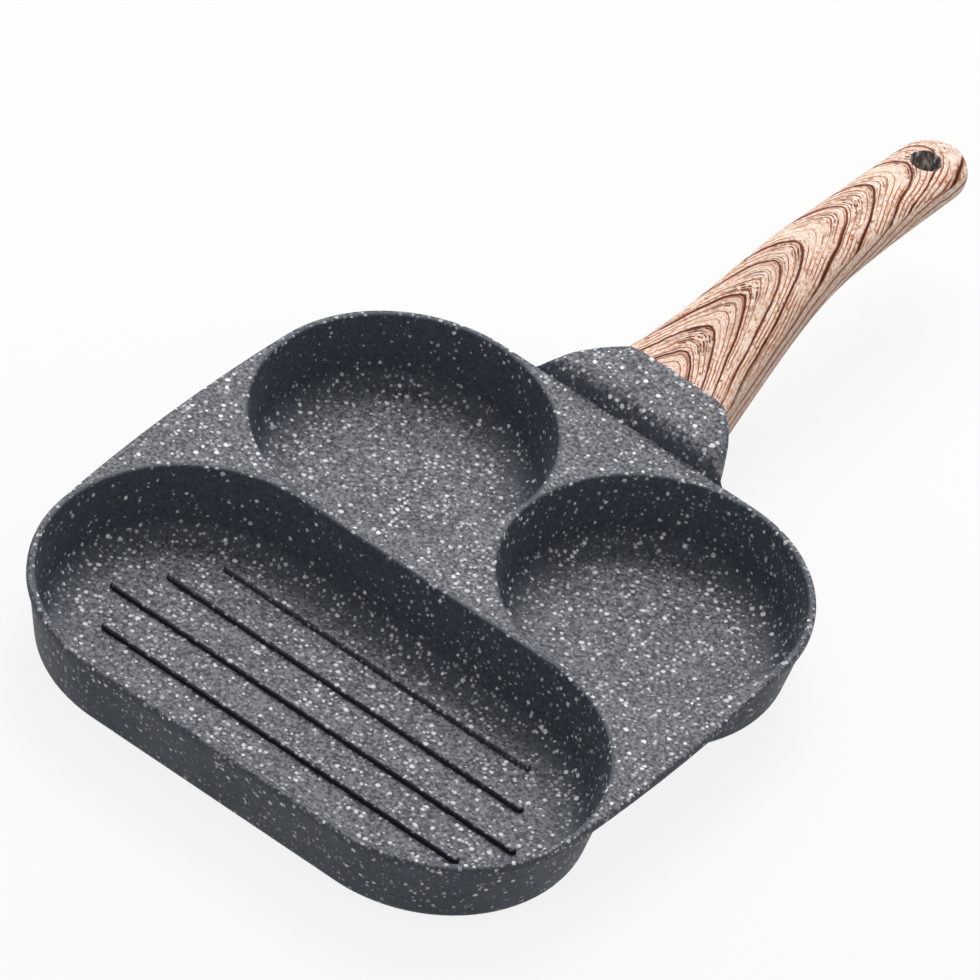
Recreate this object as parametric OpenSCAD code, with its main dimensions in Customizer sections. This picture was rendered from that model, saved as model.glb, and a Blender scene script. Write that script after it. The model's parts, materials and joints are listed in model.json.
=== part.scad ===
// Three-section frying pan: two round egg wells and one long ribbed well in one casting,
// with a cast lug at the back that carries a moulded, arched handle.
// Millimetres, +Z up, +Y towards the handle. The origin is the middle of the long well's
// underside, on the plane that the pan stands on.

/* [Wells] */
// Diameter of each round well at the rim
round_d = 100; // [84:1:116]
// Length of the long well at the rim
long_l = 204; // [170:1:230]
// Width of the long well at the rim
long_w = 105; // [90:1:115]
// Width of the land left between neighbouring wells
land = 2; // [1.5:0.5:12]
// Depth of the wells from the rim to the cooking surface
well_depth = 25; // [20:1:40]
// Slope of the well walls from the vertical, in degrees
draft = 11; // [5:1:16]
// Radius where the well walls turn into the floor
floor_r = 7; // [4:0.5:9]
// Radius of the lip where the well walls turn into the deck
lip_r = 0.8; // [0.3:0.1:1.2]

/* [Casting] */
// Thickness of the well walls
wall_t = 2.2; // [1.8:0.1:2.8]
// Thickness of the well floors
floor_t = 3; // [2.5:0.5:6]
// Outside radius at the foot of each well
foot_r = 4; // [2:0.5:6]
// Thickness of the deck that joins the wells
deck_t = 3; // [2.5:0.5:5]
// Width of the rim outside the wells
rim_w = 2.5; // [2:0.1:5]
// Edge radius of the rim
rim_r = 1.2; // [0.4:0.1:1.2]
// How far the left and right sides of the deck bow out
side_bow = 2; // [0.5:0.5:4]

/* [Ribs of the long well] */
// Number of raised ribs
rib_n = 5; // [1:2:5]
// Distance from one rib to the next
rib_pitch = 16.3; // [10:0.1:17]
// Length of the middle rib
rib_l = 165; // [110:1:168]
// How much shorter each next rib is, at each end
rib_step = 10; // [6:0.5:20]
// Width of a rib at its foot
rib_w = 3; // [2:0.1:5]
// Height of a rib above the cooking surface
rib_h = 1.8; // [1:0.1:3]

/* [Turned foot rings] */
// Radius of the first groove in the underside of each well
ring_first = 12; // [8:1:14]
// Distance from one groove to the next
ring_pitch = 8; // [5:1:8]
// Number of grooves
ring_n = 4; // [1:1:4]
// Width of a groove
ring_w = 1.2; // [0.6:0.1:2]
// Depth of a groove
ring_depth = 0.4; // [0.2:0.1:0.8]

/* [Lug] */
// How far the lug reaches out behind the deck
lug_l = 24; // [18:1:40]
// Width of the lug across its shoulders, just behind the deck
lug_w = 68; // [60:1:78]
// Radius of the hollow with which the lug's sides leave the deck
lug_fillet = 7; // [3:0.5:9]
// Depth of the lug below the deck's top where it leaves the deck
lug_drop = 12; // [9:0.5:16]
// Distance in which the lug's top makes most of its rise above the deck
lug_rise = 2; // [1:0.1:4]

/* [Handle] */
// Length of the handle from the lug to its tip
handle_l = 147.5; // [120:0.5:180]
// Width of the handle at the lug
root_w = 42; // [38:0.5:50]
// Thickness of the handle at the lug
root_t = 22; // [20:0.5:28]
// Width of the handle at its crest
grip_w = 26.5; // [23:0.5:34]
// Thickness of the handle at its crest
grip_t = 18; // [15:0.5:22]
// Width of the handle just before the rounded tip
tip_w = 25; // [22:0.5:30]
// Thickness of the handle just before the rounded tip
tip_t = 13; // [10:0.5:16]
// Length of the rounded tip
tip_r = 14; // [10:0.5:16]
// Height of the handle's middle line at the lug, from the rim
root_z = -4; // [-6:0.1:-2]
// Height of the handle's middle line at its crest, from the rim
crest_z = 13.6; // [6:0.1:24]
// Height of the handle's middle line at the tip, from the rim
tip_z = 10.3; // [2:0.1:20]
// Share of the handle's length at which it is highest
crest_at = 0.5; // [0.45:0.01:0.65]

/* [Hanging hole] */
// Diameter of the hanging hole
hole_d = 10; // [7:0.1:12]
// Distance from the tip to the middle of the hole
hole_in = 17.5; // [13:0.5:20]
// Radius of the flare at both mouths of the hole
hole_flare = 1.8; // [0.5:0.1:2.2]

/* [Handle fixing] */
// Width of the tongue that the handle slides over
tongue_w = 22; // [16:1:26]
// Thickness of the tongue
tongue_t = 9; // [8:0.5:11]
// Length of the tongue
tongue_l = 30; // [24:1:40]
// Upward tilt of the tongue, in degrees
tongue_tilt = 8; // [4:0.5:11]
// Gap between the tongue and its socket on each side
socket_gap = 0.2; // [0.1:0.05:0.4]
// Gap past the end of the tongue
socket_end = 0.8; // [0.4:0.1:2]
// Distance from the lug to the fixing screw along the tongue
screw_at = 14; // [10:0.5:18]
// Shank diameter of the fixing screw
screw_d = 5; // [4:0.5:6]
// Head diameter of the fixing screw
head_d = 9; // [8:0.5:10]
// Head height of the fixing screw
head_h = 2.6; // [2:0.1:3.2]
// Radial gap round the shank
shank_gap = 0.15; // [0.1:0.05:0.3]
// Radial gap round the head
head_gap = 0.5; // [0.2:0.1:0.8]
// Handle wall left between the screw's head and the tongue
seat_wall = 3.6; // [2.5:0.1:4]
// How far the shank reaches into the tongue
bite = 7; // [4:0.5:7.5]

/* [Hidden] */

round_r = round_d / 2;
long_r = long_w / 2;
long_half = long_l / 2 - long_r;
height = well_depth + floor_t;
round_x = round_r + land / 2;
round_y = long_r + land + round_r;
deck_y = round_y + round_r + rim_w;
lug_y = deck_y + lug_l;
root_mid = height + root_z;
slope = tan(draft);
steep = 1 / cos(draft);
arc_n = 8;
ring_fn = 40;
rim_ease = 0.4;

// Wells.

// Points of an arc round c from angle a0 to a1, both ends included.
function arc(c, r, a0, a1, n = arc_n) =
    [for (i = [0:n]) let (a = a0 + (a1 - a0) * i / n) c + r * [cos(a), sin(a)]];

// Half profile of a well's hollow: floor, floor radius, sloping wall and lip, then up past
// the deck. r is the wall's radius at the deck before the lip is rounded.
function hollow_profile(r) =
    let (
        lip = min(lip_r, land * 0.45, rim_w * 0.45),
        foot = r - well_depth * slope,
        floor_c = [foot + floor_r * slope - floor_r * steep, floor_t + floor_r],
        lip_c = [r - lip * slope + lip * steep, height - lip]
    )
    concat(
        [[0, floor_t]],
        arc(floor_c, floor_r, -90, -draft),
        arc(lip_c, lip, 180 - draft, 90, 5),
        [[lip_c.x, height + 5], [0, height + 5]]
    );

// Half profile of a well's outside, up into the deck.
function shell_profile(r) =
    let (
        foot = r + wall_t * steep - height * slope,
        foot_c = [foot + foot_r * slope - foot_r * steep, foot_r],
        top = height - deck_t / 2
    )
    concat(
        [[0, 0]],
        arc(foot_c, foot_r, -90, -draft),
        [[foot + top * slope, top], [0, top]]
    );

// A half profile turned once, or turned at both ends of a straight run of 2 * half.
module turned(profile, half = 0) {
    for (x = half > 0 ? [-half, half] : [0])
        translate([x, 0, 0]) rotate_extrude($fn = 96) polygon(profile);
    if (half > 0)
        translate([-half, 0, 0]) rotate([90, 0, 90]) linear_extrude(2 * half)
            polygon(concat(
                profile,
                [for (i = [len(profile) - 2:-1:1]) [-profile[i].x, profile[i].y]]
            ));
}

// Puts its children at each round well.
module at_round_wells() {
    for (side = [-1, 1]) translate([side * round_x, round_y, 0]) children();
}

// Outline of a groove that follows a well's own outline.
module groove(r, half) {
    module outline(q) {
        for (side = [-1, 1]) translate([side * half, 0]) circle(q, $fn = 72);
        if (half > 0) square([2 * half, 2 * q], center = true);
    }
    translate([0, 0, -1]) linear_extrude(1 + ring_depth) difference() {
        outline(r + ring_w / 2);
        outline(r - ring_w / 2);
    }
}

module grooves(half = 0) {
    for (i = [0:ring_n - 1]) groove(ring_first + i * ring_pitch, half);
}

// Raised ribs with round ends, each set a little into the floor, with a narrower crest.
module ribs() {
    last = (rib_n - 1) / 2;
    for (i = [-last:last]) {
        half = rib_l / 2 - rib_step * abs(i) - rib_w / 2;
        translate([0, i * rib_pitch, floor_t - 0.5]) turned([
            [0, 0], [rib_w / 2, 0], [rib_w / 2, 0.5 + rib_h * 0.4],
            [rib_w * 0.42, 0.5 + rib_h * 0.75], [rib_w * 0.25, 0.5 + rib_h], [0, 0.5 + rib_h]
        ], half);
    }
}

// Lofted forms.

// Cubic from a to b over the length l, with the slopes sa and sb at its ends.
function ease(a, b, sa, sb, l, x) =
    let (t = x / l)
    a * (2 * pow(t, 3) - 3 * t * t + 1) + b * (3 * t * t - 2 * pow(t, 3))
    + l * sa * (pow(t, 3) - 2 * t * t + t) + l * sb * (pow(t, 3) - t * t);

// Oval ring across Y with the half width w and from z0 up to z1. p is how square it is.
function oval(y, w, z0, z1, p) = [
    for (k = [0:ring_fn - 1])
        let (
            a = 360 * k / ring_fn,
            r = pow(pow(abs(cos(a)), p) + pow(abs(sin(a)), p), -1 / p)
        )
        [w * r * cos(a), y, (z0 + z1) / 2 + (z1 - z0) / 2 * r * sin(a)]
];

// Closed skin through rings that all have as many points as the first one.
module skin(rings) {
    n = len(rings[0]);
    last = len(rings) - 1;
    polyhedron(
        points = [for (r = rings) each r],
        faces = concat(
            [[for (k = [n - 1:-1:0]) k]],
            [for (i = [0:last - 1]) for (k = [0:n - 1]) let (m = (k + 1) % n)
                each [[i * n + k, i * n + m, (i + 1) * n + m],
                      [i * n + k, (i + 1) * n + m, (i + 1) * n + k]]],
            [[for (k = [0:n - 1]) last * n + k]]
        )
    );
}

// Deck.

// The deck is a plate round four discs, one round each end of the long well and one round
// each round well, followed anticlockwise. Its sides bow out from one disc to the next, and
// its back and front are straight.
discs = [
    [[long_half, 0], long_r + rim_w],
    [[round_x, round_y], round_r + rim_w],
    [[-round_x, round_y], round_r + rim_w],
    [[-long_half, 0], long_r + rim_w]
];

// Arc that bows out by side_bow and touches the discs a and b from outside them both, as
// [centre, radius, start angle, end angle].
function bowed_side(a, b) =
    let (
        d = b[0] - a[0],
        l = norm(d),
        r = (a[1] + b[1]) / 2 + l * l / (8 * side_bow) + side_bow / 2,
        ra = r - a[1],
        rb = r - b[1],
        along = (ra * ra - rb * rb + l * l) / (2 * l),
        off = sqrt(ra * ra - along * along),
        c = a[0] + along * d / l + off * [-d.y, d.x] / l,
        a0 = atan2(a[0].y - c.y, a[0].x - c.x),
        a1 = atan2(b[0].y - c.y, b[0].x - c.x)
    )
    [c, r, a0, a1 < a0 ? a1 + 360 : a1];

right_side = bowed_side(discs[0], discs[1]);
left_side = bowed_side(discs[2], discs[3]);

// Points of a bowed side, without its ends, drawn in by the inset.
function bow_points(s, inset, n = 8) =
    [for (i = [1:n - 1]) let (a = s[2] + (s[3] - s[2]) * i / n)
        s[0] + (s[1] - inset) * [cos(a), sin(a)]];

// Outline of the deck, drawn in by the inset.
function deck_outline(inset) = concat(
    arc(discs[0][0], discs[0][1] - inset, -90, right_side[2], 24),
    bow_points(right_side, inset),
    arc(discs[1][0], discs[1][1] - inset, right_side[3], 90, 24),
    arc(discs[2][0], discs[2][1] - inset, 90, left_side[2], 24),
    bow_points(left_side, inset),
    arc(discs[3][0], discs[3][1] - inset, left_side[3], 270, 24)
);

// The rim is rounded on top and only eased below, where it overhangs the walls.
rim_levels = concat(
    [for (i = [0:5]) rim_r * [1 - sin(18 * i), cos(18 * i) - 1]],
    [[0, rim_ease - deck_t], [rim_ease, -deck_t]]
);

module deck() {
    skin([for (e = rim_levels) [for (p = deck_outline(e[0])) [p.x, p.y, height + e[1]]]]);
}

// Lug.

// The lug leaves the deck with a hollow fillet, and its shoulders round in to the handle.
root_top = root_mid + root_t / 2;
root_foot = root_mid - root_t / 2;
lug_sink = 0.2;

// How square the cross-section is: boxy at the lug, rounder along the handle.
function squareness(u) = 2.4 + 4.6 * exp(-max(u, 0) / 22);

function lug_half(v) =
    let (u = max(v, 0) / lug_l, t = max(0, 1 - max(v, 0) / lug_fillet))
    root_w / 2 + (lug_w - root_w) / 2 * (1 - u * u) + lug_fillet * (1 - sqrt(1 - t * t));

// The top starts just below the deck, so that only a shallow line marks where they meet.
function lug_top(v) =
    let (rise = (1 - exp(-max(v, 0) / lug_rise)) / (1 - exp(-lug_l / lug_rise)))
    height - lug_sink + (root_top - height + lug_sink) * rise;

function lug_foot(v) = ease(height - lug_drop, root_foot, -0.12, 0, lug_l + 14, v + 14);

module lug() {
    runs = concat([-14, -6], [for (i = [0:16]) lug_l * pow(i / 16, 1.8)]);
    skin([for (v = runs) oval(deck_y + v, lug_half(v), lug_foot(v), lug_top(v), squareness(v - lug_l))]);
}

// Puts its children at the root of the tongue: Y along it, Z square to its flat side.
module at_tongue() {
    translate([0, lug_y, root_mid]) rotate([tongue_tilt, 0, 0]) children();
}

// Block with rounded corners at its far end, from y0 to y1.
module tongue_block(w, t, y0, y1) {
    corner = 3;
    translate([0, 0, -t / 2]) linear_extrude(t) {
        translate([-w / 2, y0]) square([w, y1 - corner - y0]);
        translate([-w / 2 + corner, y0]) square([w - 2 * corner, y1 - y0]);
        for (side = [-1, 1])
            translate([side * (w / 2 - corner), y1 - corner]) circle(corner, $fn = 48);
    }
}

seat_z = -tongue_t / 2 - socket_gap - seat_wall;

module pan_body() {
    color([0.24, 0.25, 0.27]) difference() {
        union() {
            difference() {
                union() {
                    deck();
                    lug();
                    at_round_wells() turned(shell_profile(round_r));
                    turned(shell_profile(long_r), long_half);
                    at_tongue() tongue_block(tongue_w, tongue_t, -4, tongue_l);
                }
                at_round_wells() turned(hollow_profile(round_r));
                turned(hollow_profile(long_r), long_half);
            }
            ribs();
        }
        at_round_wells() grooves();
        grooves(long_half);
        at_tongue() translate([0, screw_at, -tongue_t / 2 - 1])
            cylinder(h = bite + 1.5, r = screw_d / 2 + shank_gap, $fn = 48);
    }
}

// Handle.

root_taper = 0.16;
root_climb = 0.11;
crest_y = handle_l * crest_at;
tip_y = handle_l - tip_r;

function grip_half(u) =
    u < crest_y ? ease(root_w / 2, grip_w / 2, -root_taper, -0.04, crest_y, u)
    : ease(grip_w / 2, tip_w / 2, -0.04, 0, tip_y - crest_y, min(u, tip_y) - crest_y);

function grip_mid(u) =
    height + (u < crest_y ? ease(root_z, crest_z, root_climb, 0, crest_y, u)
    : ease(crest_z, tip_z, 0, -0.04, handle_l - crest_y, u - crest_y));

function grip_thick(u) =
    u < crest_y ? ease(root_t, grip_t, 0, -0.05, crest_y, u)
    : ease(grip_t, tip_t, -0.05, -0.1, handle_l - crest_y, u - crest_y);

// Ring of the handle at the distance u from the lug, drawn in towards the tip.
function grip_ring(u) =
    let (
        s = max(0, (u - tip_y) / tip_r),
        w = grip_half(u) * sqrt(max(0, 1 - s * s)),
        t = grip_thick(u) * pow(max(0, 1 - pow(s, 3)), 1 / 3)
    )
    oval(lug_y + u, w, grip_mid(u) - t / 2, grip_mid(u) + t / 2, squareness(u));

// The hanging hole stands square to the handle's middle line, flared at both mouths.
hole_u = handle_l - hole_in;
hole_tilt = atan((grip_mid(hole_u + 1) - grip_mid(hole_u - 1)) / 2);

module hanging_hole() {
    r = hole_d / 2;
    mouth = grip_thick(hole_u) / 2 - hole_flare * 0.7;
    half = concat(
        [[0, 0], [r, 0]],
        arc([r + hole_flare, mouth], hole_flare, 180, 90, 5),
        [[r + hole_flare, mouth + hole_flare + 10], [0, mouth + hole_flare + 10]]
    );
    translate([0, lug_y + hole_u, grip_mid(hole_u)]) rotate([hole_tilt, 0, 0])
        for (side = [0, 1]) mirror([0, 0, side])
            rotate_extrude($fn = 64) polygon(half);
}

module handle() {
    runs = concat(
        [for (i = [0:21]) tip_y * i / 22],
        [for (i = [0:8]) tip_y + tip_r * sin(84 * i / 8)]
    );
    color([0.90, 0.74, 0.62]) difference() {
        skin([for (u = runs) grip_ring(u)]);
        at_tongue() tongue_block(
            tongue_w + 2 * socket_gap, tongue_t + 2 * socket_gap, -5, tongue_l + socket_end
        );
        at_tongue() translate([0, screw_at, 0]) {
            mirror([0, 0, 1]) cylinder(h = root_t, r = screw_d / 2 + shank_gap, $fn = 48);
            translate([0, 0, seat_z - root_t])
                cylinder(h = root_t, r = head_d / 2 + head_gap, $fn = 64);
        }
        hanging_hole();
    }
}

// Fixing screw.

module handle_screw() {
    color([0.72, 0.73, 0.75]) at_tongue() translate([0, screw_at, 0]) difference() {
        rotate_extrude($fn = 64) polygon(concat(
            [[0, seat_z - head_h]],
            arc([head_d / 2 - 1, seat_z - head_h + 1], 1, -90, 0, 4),
            [
                [head_d / 2, seat_z], [screw_d / 2, seat_z],
                [screw_d / 2, bite - tongue_t / 2 - 0.6], [screw_d / 2 - 0.6, bite - tongue_t / 2],
                [0, bite - tongue_t / 2]
            ]
        ));
        translate([0, 0, seat_z - head_h - 1]) cylinder(h = 2.5, r = screw_d * 0.34, $fn = 6);
    }
}

pan_body();
handle();
handle_screw();
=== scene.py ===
"""Divided frying pan: the finishes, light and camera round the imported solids.

Lengths are in metres unless a name ends in _mm. The solids come from the frame and are shown as
they are, with smoothed edges. Every finish is procedural and works on the object's own
coordinates, so it sits still on the pan from any side.
"""

import json
import logging
import math
from dataclasses import dataclass, field
from enum import Enum
from typing import Optional, Union

import bpy
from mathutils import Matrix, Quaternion, Vector


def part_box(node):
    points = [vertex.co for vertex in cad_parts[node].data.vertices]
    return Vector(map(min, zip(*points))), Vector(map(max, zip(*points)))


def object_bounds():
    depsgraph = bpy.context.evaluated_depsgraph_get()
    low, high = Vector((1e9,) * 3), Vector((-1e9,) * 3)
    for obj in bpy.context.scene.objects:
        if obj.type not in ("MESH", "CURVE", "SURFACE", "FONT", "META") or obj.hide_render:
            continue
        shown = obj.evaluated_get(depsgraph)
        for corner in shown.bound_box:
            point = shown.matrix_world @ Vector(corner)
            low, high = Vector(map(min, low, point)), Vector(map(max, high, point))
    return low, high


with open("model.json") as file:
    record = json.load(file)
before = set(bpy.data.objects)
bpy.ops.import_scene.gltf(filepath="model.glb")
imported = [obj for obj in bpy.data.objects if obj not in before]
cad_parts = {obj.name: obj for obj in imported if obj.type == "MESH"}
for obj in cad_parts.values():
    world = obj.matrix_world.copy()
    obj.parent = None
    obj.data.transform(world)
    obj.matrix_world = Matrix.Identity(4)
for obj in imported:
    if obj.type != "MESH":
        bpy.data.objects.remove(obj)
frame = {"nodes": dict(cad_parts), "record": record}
CAD_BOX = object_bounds()

log = logging.getLogger("divided_pan")

Socket = bpy.types.NodeSocket
Value = Union[Socket, float, tuple]
Colour = tuple[float, float, float]
Span = tuple[float, float]

MM = 1000.0
FAR_MM = 1000.0
SAME_POINT = 1e-6
LARGE_FACE_WEIGHT = 100
WHITE = (1.0, 1.0, 1.0, 1.0)

# Numbers of sockets, on nodes that have one socket of a name for each kind of data
SCALE_INPUT = 3
MIX_INPUTS = (0, 6, 7)
MIX_OUTPUT = 2


def mount(name: str) -> dict:
    """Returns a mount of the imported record, by its name."""
    return next(entry for entry in frame["record"]["mounts"] if entry["name"] == name)


def linear(red: int, green: int, blue: int) -> Colour:
    """Turns a screen colour of 0 to 255 into the linear colour that a shader takes.

    Args:
        red: Red, from 0 to 255.
        green: Green, from 0 to 255.
        blue: Blue, from 0 to 255.

    Returns:
        The linear colour.
    """

    def channel(value: int) -> float:
        """Undoes the screen's curve for one channel."""
        share = value / 255
        return share / 12.92 if share <= 0.04045 else ((share + 0.055) / 1.055) ** 2.4

    return channel(red), channel(green), channel(blue)


@dataclass(frozen=True)
class Clouds:
    """A kind of noise, and how a mask is made from it.

    Attributes:
        per_mm: Features in a millimetre.
        detail: How many finer layers it has.
        rough: How strong the finer layers are.
        span: The noise's values at which its mask is 0 and 1.
    """

    per_mm: float
    detail: float = 2.0
    rough: float = 0.5
    span: Span = (0.0, 1.0)


class Graph:
    """Adds nodes to one node tree and joins them."""

    def __init__(self, tree: bpy.types.NodeTree) -> None:
        """Keeps the tree that the nodes go into.

        Args:
            tree: A material's or group's node tree.
        """
        self.tree = tree

    def add(self, kind: str, **settings: object) -> bpy.types.Node:
        """Adds a node.

        Args:
            kind: The node's type name.
            **settings: Properties that are set on the node.

        Returns:
            The new node.
        """
        node = self.tree.nodes.new(kind)
        for name, value in settings.items():
            setattr(node, name, value)
        return node

    def feed(self, socket: Socket, value: Value) -> None:
        """Joins a socket to another one, or gives it a fixed value.

        Args:
            socket: The input.
            value: An output socket, a number or a tuple.
        """
        if isinstance(value, bpy.types.NodeSocket):
            self.tree.links.new(value, socket)
        else:
            socket.default_value = value

    def math(self, operation: str, *values: Value, clamp: bool = False) -> Socket:
        """Adds a Math node.

        Args:
            operation: The node's operation.
            *values: One to three inputs.
            clamp: Whether the result stays from 0 to 1.

        Returns:
            The result.
        """
        node = self.add("ShaderNodeMath", operation=operation, use_clamp=clamp)
        for socket, value in zip(node.inputs, values):
            self.feed(socket, value)
        return node.outputs[0]

    def times(self, first: Value, *others: Value) -> Socket:
        """Multiplies numbers, from the first to the last.

        Args:
            first: The first number.
            *others: One or more numbers.

        Returns:
            Their product.
        """
        for other in others:
            first = self.math("MULTIPLY", first, other)
        return first

    def minus(self, first: Value, second: Value) -> Socket:
        """Takes the second number from the first."""
        return self.math("SUBTRACT", first, second)

    def opposite(self, mask: Value) -> Socket:
        """Turns a mask round, so that 1 becomes 0."""
        return self.minus(1.0, mask)

    def vector(self, operation: str, *values: Value) -> Socket:
        """Adds a Vector Math node.

        Args:
            operation: The node's operation.
            *values: Its inputs, vectors first.

        Returns:
            The result, a number for LENGTH, DISTANCE and DOT_PRODUCT.
        """
        node = self.add("ShaderNodeVectorMath", operation=operation)
        sockets = [node.inputs[SCALE_INPUT]] if operation == "SCALE" else list(node.inputs[1:3])
        for socket, value in zip([node.inputs[0], *sockets], values):
            self.feed(socket, value)
        number = operation in ("LENGTH", "DISTANCE", "DOT_PRODUCT")
        return node.outputs[1 if number else 0]

    def step(self, value: Value, low: Value, high: Value, soft: bool = True) -> Socket:
        """Maps a value to 0 at low and 1 at high.

        Args:
            value: The value.
            low: Where the result is 0.
            high: Where the result is 1.
            soft: Whether the rise is rounded at both ends.

        Returns:
            The result, from 0 to 1.
        """
        kind = "SMOOTHSTEP" if soft else "LINEAR"
        node = self.add("ShaderNodeMapRange", interpolation_type=kind, clamp=True)
        for socket, given in zip(node.inputs, (value, low, high)):
            self.feed(socket, given)
        return node.outputs[0]

    def mix(self, share: Value, first: Value, second: Value, blend: str = "MIX") -> Socket:
        """Mixes two colours.

        Args:
            share: How much of the second colour shows.
            first: A colour socket or a colour.
            second: A colour socket or a colour.
            blend: The blend mode.

        Returns:
            The mixed colour.
        """
        node = self.add("ShaderNodeMix", data_type="RGBA", blend_type=blend)
        for index, value in zip(MIX_INPUTS, (share, first, second)):
            self.feed(node.inputs[index], (*value, 1.0) if isinstance(value, tuple) else value)
        return node.outputs[MIX_OUTPUT]

    def between(self, share: Value, first: float, second: float) -> Socket:
        """Returns a number that runs from the first at a share of 0 to the second at 1."""
        return self.math("MULTIPLY_ADD", share, second - first, first)

    def noise(
        self, place: Value, per_mm: Value, detail: float = 2.0, rough: float = 0.5
    ) -> bpy.types.Node:
        """Adds a Noise texture.

        Args:
            place: The position in millimetres.
            per_mm: Features in a millimetre.
            detail: How many finer layers it has.
            rough: How strong the finer layers are.

        Returns:
            The node, with its number at outputs[0] and its colour at outputs[1].
        """
        node = self.add("ShaderNodeTexNoise")
        given = {"Vector": place, "Scale": per_mm, "Detail": detail, "Roughness": rough}
        for name, value in given.items():
            self.feed(node.inputs[name], value)
        return node

    def clouds(self, place: Value, kind: Clouds) -> Socket:
        """Adds a noise of a named kind and returns its number."""
        return self.noise(place, kind.per_mm, kind.detail, kind.rough).outputs[0]

    def patches(self, place: Value, kind: Clouds) -> Socket:
        """Adds a noise of a named kind and returns its mask."""
        return self.step(self.clouds(place, kind), *kind.span)

    def parts(self, place: Value) -> tuple[Socket, Socket, Socket]:
        """Splits a vector into its three numbers."""
        node = self.add("ShaderNodeSeparateXYZ")
        self.feed(node.inputs[0], place)
        return tuple(node.outputs)

    def joined(self, x: Value, y: Value, z: Value) -> Socket:
        """Joins three numbers into a vector."""
        node = self.add("ShaderNodeCombineXYZ")
        for socket, value in zip(node.inputs, (x, y, z)):
            self.feed(socket, value)
        return node.outputs[0]

    def curve(self, value: Value, points: list[tuple[float, float]]) -> Socket:
        """Maps a value through straight runs between points.

        Args:
            value: The value.
            points: Pairs of value and result, in rising order of the value.

        Returns:
            The result.
        """
        (x0, _), (x1, _) = points[0], points[-1]
        low = min(y for _, y in points)
        high = max(y for _, y in points)
        node = self.add("ShaderNodeFloatCurve")
        line = node.mapping.curves[0]
        shares = [((x - x0) / (x1 - x0), (y - low) / (high - low)) for x, y in points]
        line.points[0].location = shares[0]
        line.points[1].location = shares[-1]
        for share in shares[1:-1]:
            line.points.new(*share)
        for point in line.points:
            point.handle_type = "VECTOR"
        node.mapping.update()
        self.feed(node.inputs["Value"], self.step(value, x0, x1, soft=False))
        return self.math("MULTIPLY_ADD", node.outputs[0], high - low, low)

    def use(self, group: bpy.types.NodeTree, **values: Value) -> dict[str, Socket]:
        """Places a node group.

        Args:
            group: The group.
            **values: Its inputs by name.

        Returns:
            Its outputs by name.
        """
        node = self.add("ShaderNodeGroup", node_tree=group)
        for name, value in values.items():
            self.feed(node.inputs[name], value)
        return {socket.name: socket for socket in node.outputs}


class SocketKind(Enum):
    """Kinds of socket that the groups have."""

    NUMBER = "NodeSocketFloat"
    VECTOR = "NodeSocketVector"


def new_group(
    name: str, takes: dict[str, SocketKind], gives: tuple[str, ...]
) -> tuple[Graph, dict[str, Socket], bpy.types.NodeInputs]:
    """Makes an empty shader node group with its sockets.

    Args:
        name: The group's name.
        takes: Its inputs, by name.
        gives: The names of its number outputs.

    Returns:
        The group's graph, its inputs by name, and its output node's sockets.
    """
    tree = bpy.data.node_groups.new(name, "ShaderNodeTree")
    for label, kind in takes.items():
        tree.interface.new_socket(name=label, in_out="INPUT", socket_type=kind.value)
    for label in gives:
        tree.interface.new_socket(name=label, in_out="OUTPUT", socket_type=SocketKind.NUMBER.value)
    graph = Graph(tree)
    inside = graph.add("NodeGroupInput")
    outside = graph.add("NodeGroupOutput")
    return graph, {label: inside.outputs[label] for label in takes}, outside.inputs


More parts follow.
